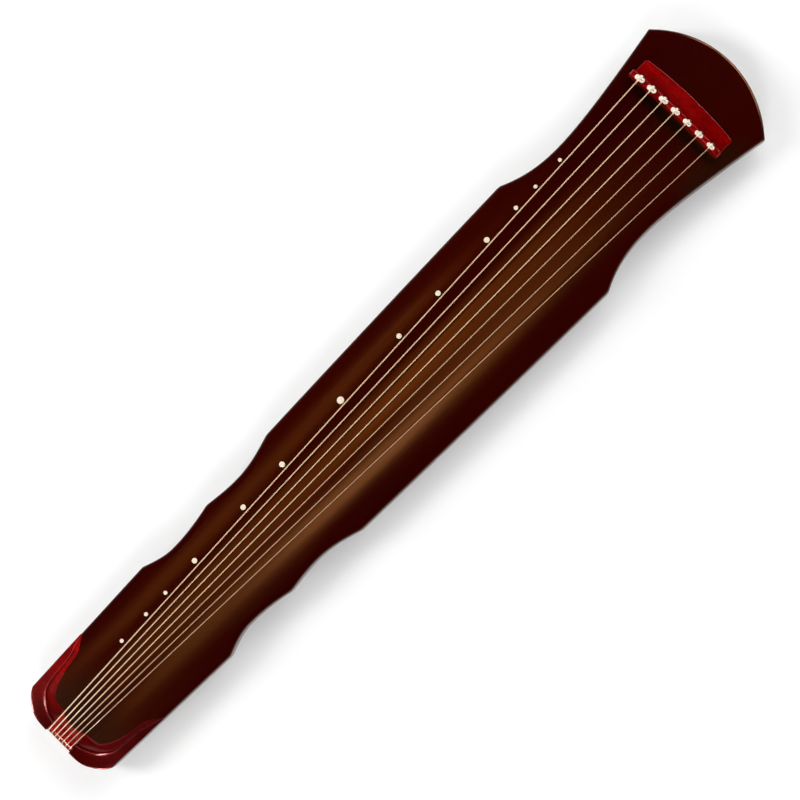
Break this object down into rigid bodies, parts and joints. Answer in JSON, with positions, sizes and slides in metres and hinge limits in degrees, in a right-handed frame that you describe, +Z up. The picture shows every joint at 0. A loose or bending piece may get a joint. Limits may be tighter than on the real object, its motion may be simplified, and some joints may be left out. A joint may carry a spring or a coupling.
{
  "type": "guqin",
  "caption": "Fuxi-style guqin, a long lacquered zither with an arched top, strings over a red bridge and nut, turning pegs under the head and two goose feet.",
  "frame": {"origin": "on the floor, under the middle of the body", "axes": "+X from the tail to the head, +Y towards the side with the markers and the thickest string, +Z up"},
  "size_m": [1.24, 0.2098, 0.101],
  "materials": {
    "lacquer": "glossy dark maroon lacquer",
    "redwood": "polished red hardwood",
    "darkwood": "oiled dark red hardwood",
    "spruce": "bare softwood",
    "shell": "polished shell inlay",
    "silk": "smooth wound silk",
    "tuning_silk": "twisted brown silk cord"
  },
  "bodies": {
    "soundbox": {"top_board": "lacquer", "bottom_board": "lacquer", "bridge": "redwood", "dew_collector": "redwood", "peg_plate": "darkwood", "tail_nut": "redwood", "lower_nut": "redwood", "tail_crown_far": "redwood", "tail_crown_near": "redwood", "round_soundpost": "spruce", "square_soundpost": "spruce", "marker_1": "shell", "marker_2": "shell", "marker_3": "shell", "marker_4": "shell", "marker_5": "shell", "marker_6": "shell", "marker_7": "shell", "marker_8": "shell", "marker_9": "shell", "marker_10": "shell", "marker_11": "shell", "marker_12": "shell", "marker_13": "shell", "goose_foot_far": "darkwood", "goose_foot_near": "darkwood", "peg_guard_far": "darkwood", "peg_guard_near": "darkwood", "string_1": "silk", "string_2": "silk", "string_3": "silk", "string_4": "silk", "string_5": "silk", "string_6": "silk", "string_7": "silk", "tuning_cord_1": "tuning_silk", "tuning_cord_2": "tuning_silk", "tuning_cord_3": "tuning_silk", "tuning_cord_4": "tuning_silk", "tuning_cord_5": "tuning_silk", "tuning_cord_6": "tuning_silk", "tuning_cord_7": "tuning_silk"},
    "peg_1": {"tuning_peg_1": "darkwood", "cord_winding_1": "tuning_silk"},
    "peg_2": {"tuning_peg_2": "darkwood", "cord_winding_2": "tuning_silk"},
    "peg_3": {"tuning_peg_3": "darkwood", "cord_winding_3": "tuning_silk"},
    "peg_4": {"tuning_peg_4": "darkwood", "cord_winding_4": "tuning_silk"},
    "peg_5": {"tuning_peg_5": "darkwood", "cord_winding_5": "tuning_silk"},
    "peg_6": {"tuning_peg_6": "darkwood", "cord_winding_6": "tuning_silk"},
    "peg_7": {"tuning_peg_7": "darkwood", "cord_winding_7": "tuning_silk"}
  },
  "joints": [
    {"name": "peg_turn_1", "type": "hinge", "parent": "soundbox", "child": "peg_1", "pos_m": [0.5265, 0.06317, 0.0517], "axis": [0, 0, 1], "continuous": true},
    {"name": "peg_turn_2", "type": "hinge", "parent": "soundbox", "child": "peg_2", "pos_m": [0.5265, 0.04211, 0.0517], "axis": [0, 0, 1], "continuous": true},
    {"name": "peg_turn_3", "type": "hinge", "parent": "soundbox", "child": "peg_3", "pos_m": [0.5265, 0.02106, 0.0517], "axis": [0, 0, 1], "continuous": true},
    {"name": "peg_turn_4", "type": "hinge", "parent": "soundbox", "child": "peg_4", "pos_m": [0.5265, 0, 0.0517], "axis": [0, 0, 1], "continuous": true},
    {"name": "peg_turn_5", "type": "hinge", "parent": "soundbox", "child": "peg_5", "pos_m": [0.5265, -0.02106, 0.0517], "axis": [0, 0, 1], "continuous": true},
    {"name": "peg_turn_6", "type": "hinge", "parent": "soundbox", "child": "peg_6", "pos_m": [0.5265, -0.04211, 0.0517], "axis": [0, 0, 1], "continuous": true},
    {"name": "peg_turn_7", "type": "hinge", "parent": "soundbox", "child": "peg_7", "pos_m": [0.5265, -0.06317, 0.0517], "axis": [0, 0, 1], "continuous": true}
  ]
}
